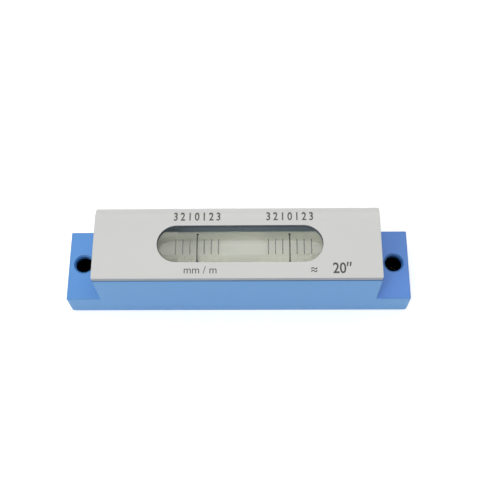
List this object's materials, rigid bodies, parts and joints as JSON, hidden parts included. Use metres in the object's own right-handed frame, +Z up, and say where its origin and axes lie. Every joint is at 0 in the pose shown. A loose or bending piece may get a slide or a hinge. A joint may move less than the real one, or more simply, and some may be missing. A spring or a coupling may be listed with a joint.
{
  "type": "spirit level",
  "caption": "Small bench spirit level: painted metal bar with screw ears, sheet cover with a long window, and a ground glass vial on a tilting cradle.",
  "frame": {"origin": "centre of the bar's ground base face", "axes": "+X along the bar, +Y towards the rear flange of the cover, +Z up out of the window"},
  "size_m": [0.08, 0.0182, 0.0214],
  "materials": {
    "blue_paint": "smooth satin paint, base face ground bare",
    "cover_paint": "pale warm grey satin paint",
    "steel": "plain",
    "brass": "turned",
    "white_paint": "white reflector paint",
    "glass": "clear",
    "liquid": "clear pale green",
    "vapour": "clear",
    "ink": "black line filler",
    "cement": "matt cement"
  },
  "bodies": {
    "bar": {"base_body": "blue_paint", "top_cover": "cover_paint", "cover_screws": "steel", "pivot_pin": "steel", "adjusting_spring": "steel"},
    "cradle": {"vial_cradle": "white_paint", "vial_cement": "cement", "vial_glass": "glass", "vial_liquid": "liquid", "main_lines": "ink", "division_lines": "ink"},
    "bubble": {"bubble": "vapour"},
    "washer": {"adjusting_washer": "brass"},
    "adjuster": {"adjusting_screw": "brass"}
  },
  "joints": [
    {"name": "adjuster_rise", "type": "slide", "parent": "bar", "child": "washer", "axis": [0, 0, 1], "range_m": [-0.00025, 0.00025]},
    {"name": "adjuster_turn", "type": "hinge", "parent": "washer", "child": "adjuster", "pos_m": [-0.0242, 0, 0.01066], "axis": [0, 0, 1], "range_deg": [-200, 200]},
    {"name": "cradle_tilt", "type": "hinge", "parent": "bar", "child": "cradle", "pos_m": [0.02525, 0, 0.011], "axis": [0, 1, 0], "range_deg": [-0.2896, 0.2896], "deforming": ["adjusting_spring"]},
    {"name": "bubble_slide", "type": "slide", "parent": "cradle", "child": "bubble", "axis": [1, 0, 0], "range_m": [-0.013, 0.013]}
  ],
  "couplings": [
    {"joint": "adjuster_turn", "follows": "cradle_tilt", "ratio": 690.45},
    {"joint": "adjuster_rise", "follows": "cradle_tilt", "m_per_rad": 0.04945}
  ]
}
